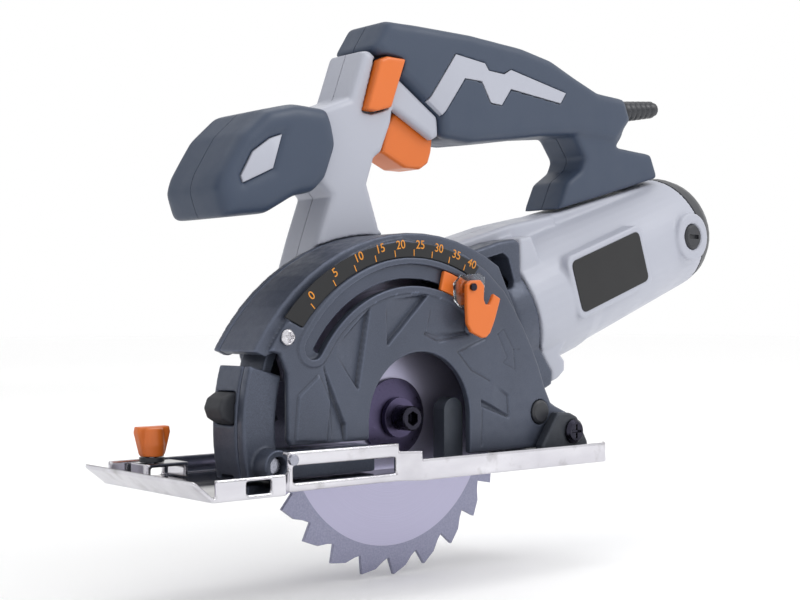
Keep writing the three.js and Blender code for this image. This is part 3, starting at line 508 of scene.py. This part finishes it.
INLAY = boxed([
    (65.6, 113), (88.3, 128.9), (103.7, 121.7), (105, 118.2), (113.9, 114.6), (118.5, 115.6), (149.9, 97.9),
    (145, 94.4), (115.8, 107.7), (107.9, 102.3), (102, 104.8), (99.6, 114.8), (90.1, 118.2), (71.4, 105.4),
])
INSET = boxed([(-14.8, 119.4), (-22.9, 108.4), (-37.5, 106.9), (-37.6, 109.5), (-29.6, 116.6), (-20.6, 119.3)])
HALVES = {
    "grip": (0.7, 26, INLAY),
    "front_handle": (0.7, 44, INSET),
    "housing": (0.7, 3, None),
}
SIDES = ((-1, "_near"), (1, "_far"))


def joined_halves(stem):
    """The two halves of a shell as one form, with their seam faces pushed into each other."""
    whole = bmesh.new()
    for side, end in SIDES:
        start = len(whole.verts)
        whole.from_mesh(nodes[stem + end].data)
        whole.verts.ensure_lookup_table()
        for vertex in whole.verts[start:]:
            if abs(vertex.co.y) < 0.5 * MM:
                vertex.co.y -= side * 0.2 * MM
    bmesh.ops.remove_doubles(whole, verts=whole.verts, dist=JOIN_DISTANCE)
    return add_object(stem, made_mesh(stem, whole))


def cut_half(form, side, name):
    """One side of a softened form, closed along the seam."""
    half = bmesh.new()
    half.from_mesh(form.data)
    bmesh.ops.bisect_plane(
        half,
        geom=half.verts[:] + half.edges[:] + half.faces[:],
        plane_co=(0, side * SEAM * MM, 0),
        plane_no=(0, -side, 0),
        clear_outer=True,
    )
    rim = [edge for edge in half.edges if edge.is_boundary]
    filled = bmesh.ops.triangle_fill(half, edges=rim, use_beauty=True, normal=(0, -side, 0))["geom"]
    for edge in rim:
        edge.smooth = False
    for face in filled:
        if isinstance(face, bmesh.types.BMFace):
            face.smooth = False
    return add_object(name, made_mesh(name, half))


def build_halves():
    """Softens the two halves of a shell as one form, then parts them again at the seam."""
    for stem, (voxel, rounds, outline) in HALVES.items():
        form = joined_halves(stem)
        remesh(form, voxel, rounds, keep=(lambda point: near_outline(point, outline)) if outline else None)
        for side, end in SIDES:
            settle(cut_half(form, side, stem + end + "_fine"), stem + end)
        bpy.data.objects.remove(form)


def build_soft_pieces():
    for node, (voxel, rounds) in SOFT.items():
        piece = tidy_copy(node)
        remesh(piece, voxel, rounds)
        settle(piece, node)


def edge_reach(points, a, b):
    """The distance in mm from each (x, z) point to the segment from a to b."""
    a, b = np.array(a, float), np.array(b, float)
    along = b - a
    part = np.clip((points - a) @ along / (along @ along), 0, 1)
    return np.hypot(*(points - a - part[:, None] * along).T)


def inside(points, outline):
    """Which (x, z) points lie within a closed outline."""
    held = np.zeros(len(points), bool)
    for (x0, z0), (x1, z1) in zip(outline, outline[1:] + outline[:1]):
        if z0 == z1:
            continue
        crosses = (points[:, 1] > z0) != (points[:, 1] > z1)
        held ^= crosses & (points[:, 0] < x0 + (points[:, 1] - z0) * (x1 - x0) / (z1 - z0))
    return held


def outline_reach(points, outline):
    """Distance to a closed outline, negative inside it."""
    pairs = zip(outline, outline[1:] + outline[:1])
    distance = np.min([edge_reach(points, a, b) for a, b in pairs], axis=0)
    return np.where(inside(points, outline), -distance, distance)


def sunk(points, outline, depth, deep_edge=None, run=10.0, blur=0.5):
    """How far a facet sinks; with a deep edge it slopes up away from that edge."""
    amount = depth * np.clip(0.5 - outline_reach(points, outline) / blur, 0, 1)
    if deep_edge:
        amount = amount * np.clip(1 - edge_reach(points, *deep_edge) / run, 0, 1)
    return amount


def scored(points, line, depth, width):
    """A thin line pressed into a face."""
    distance = np.min([edge_reach(points, a, b) for a, b in zip(line, line[1:])], axis=0)
    return depth * np.clip(1.5 - distance / width, 0, 1)


PANEL = [(-50.2, 39.4), (-59.3, 32.3), (-60.8, 16.2), (-46.7, 15.4), (-45.2, 29.9)]
FACETS = (
    ([(-26, 63.8), (-31.5, 33.6), (-43.5, 48.6)], 2.1, ((-26, 63.8), (-31.5, 33.6)), 13),
    ([(3.4, 69.4), (-10.1, 56.6), (-17.2, 49.9), (-17.9, 67)], 2.1, ((3.4, 69.4), (-17.2, 49.9)), 12),
    (
        [(-47.8, 42.8), (-37.8, 21), (-37.8, 14.6), (-44, 14.6), (-44.5, 29.9)],
        2.0,
        ((-47.8, 42.8), (-37.8, 21)),
        9,
    ),
    (
        [(5, 65.4), (19.6, 64.5), (24.7, 60.1), (24.7, 54.8), (9.4, 52.4), (3, 54.5)],
        1.4,
        ((3, 54), (24.7, 54.7)),
        11,
    ),
    ([(32.3, 27.2), (48.4, 20.3), (47.8, 19.3), (32.6, 24.6)], 1.2, None, 0),
    ([(37.2, 34.8), (47.8, 28.6), (48.5, 20.4), (39.1, 24.6)], 0.8, ((48.5, 20.4), (47.8, 28.6)), 9),
)
SCORES = (
    ([(-37.8, 21), (-37.8, 14.4)], 0.5, 0.5),
    ([(2.3, 54.2), (9.2, 51.6), (24.7, 54.2)], 0.9, 0.7),
    ([(34.5, 52), (19.5, 46.8), (26.8, 39.4), (37.2, 34.8)], 0.45, 0.5),
    ([(33.1, 25.2), (32.6, 9.1)], 0.3, 0.4),
    ([(41.8, 53.7), (45.1, 55.7), (50.9, 47.4), (54.2, 47.4)], 0.25, 0.35),
    ([(41.8, 53.7), (47.3, 44), (44.7, 42), (51.7, 39.1), (50.9, 47.4)], 0.25, 0.35),
)


def build_guard():
    """The guard cover, with its raised panel, sunk facets and pressed lines."""
    piece = tidy_copy("guard_cover")
    remesh(piece, 0.45, 2)
    mesh = piece.data
    places = np.empty(len(mesh.vertices) * 3)
    mesh.vertices.foreach_get("co", places)
    places = places.reshape(-1, 3)
    flat = places[:, (0, 2)] / MM
    on_face = np.clip((-37.6 - places[:, 1] / MM) / 0.6, 0, 1)
    shift = np.max([sunk(flat, *facet) for facet in FACETS], axis=0) - sunk(flat, PANEL, 0.8)
    for line, depth, width in SCORES:
        shift = shift + scored(flat, line, depth, width)
    places[:, 1] += shift * on_face * MM
    mesh.vertices.foreach_set("co", places.ravel())
    mesh.update()
    settle(piece, "guard_cover")


OTHER_LOOKS = {
    "outer_flange": LOOKS["violet_steel"],
    "bolt_washer": LOOKS["violet_steel"],
    "depth_stud": LOOKS["black_steel"],
    "pivot_screw": LOOKS["black_steel"],
}


def build_rest():
    done = set(SOFT) | {"guard_cover"} | {stem + end for stem in HALVES for _, end in SIDES}
    for node in sorted(nodes):
        if node in done:
            continue
        piece = tidy_copy(node)
        crisp(piece)
        settle(piece, node, OTHER_LOOKS.get(node))


def text_mesh(name, words):
    curve = bpy.data.curves.new(name, "FONT")
    curve.body = words
    curve.size = FIGURE_SIZE * MM
    curve.align_x = "CENTER"
    curve.align_y = "CENTER"
    curve.extrude = 0.05 * MM
    curve.offset = 0.02 * MM
    return add_object(name, curve)


FIGURES = (
    (0, 135.8), (5, 124.9), (10, 115.5), (15, 106.7), (20, 98.5), (25, 90.5), (30, 82.7), (35, 75), (40, 67.8),
)


def scale_place(radius, degrees):
    """A point of the depth scale, whose band is centred a little below the slot."""
    angle = math.radians(degrees)
    return (SCALE_CENTRE[0] + radius * math.cos(angle), SCALE_CENTRE[1] + radius * math.sin(angle))


def build_figures():
    ink = moulded("figure_ink", rgb("E8962C"), 0.5, depth=0.02, vary=0.03, edge_highlight=1.0)
    for number, angle in FIGURES:
        text = text_mesh("figure_%d" % number, str(number))
        x, z = scale_place(FIGURE_RADIUS, angle - (2.6 if number > 9 else 1.9))
        spin = Matrix.Rotation(-math.radians(angle - 90), 4, "Y")
        face = Matrix.Rotation(math.radians(90), 4, "X")
        text.matrix_world = Matrix.Translation((x * MM, FIGURE_Y * MM, z * MM)) @ spin @ face
        apply_text(text, ink)
        tick = tick_mesh("tick_%d" % number, angle)
        tick.data.materials.append(ink)
        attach(tick, "saw_body")


def apply_text(text, ink):
    """Turns a line of text into an inked mesh on the saw body."""
    bpy.context.view_layer.update()
    shown = text.evaluated_get(bpy.context.evaluated_depsgraph_get())
    mesh = bpy.data.meshes.new_from_object(shown)
    place = text.matrix_world.copy()
    name = text.name
    bpy.data.objects.remove(text)
    mesh.transform(place)
    obj = add_object(name, mesh)
    obj.data.materials.clear()
    obj.data.materials.append(ink)
    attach(obj, "saw_body")


def tick_mesh(name, angle):
    bm = bmesh.new()
    corners = []
    inner, outer = TICK_RADII
    wide = TICK_HALF_WIDTH
    for radius, side in ((inner, -wide), (outer, -wide), (outer, wide), (inner, wide)):
        x, z = scale_place(radius, angle + math.degrees(side / radius))
        corners.append(bm.verts.new((x * MM, TICK_Y * MM, z * MM)))
    face = bm.faces.new(corners)
    grown = bmesh.ops.extrude_face_region(bm, geom=[face])
    moved = [v for v in grown["geom"] if isinstance(v, bmesh.types.BMVert)]
    bmesh.ops.translate(bm, verts=moved, vec=(0, -TICK_DEPTH * MM, 0))
    bmesh.ops.recalc_face_normals(bm, faces=bm.faces)
    return add_object(name, made_mesh(name, bm))


add_camera()
add_studio()
build_soft_pieces()
build_halves()
build_guard()
build_rest()
build_figures()

bpy.context.view_layer.update()


def plain(box):
    return [[float(value) for value in corner] for corner in box]
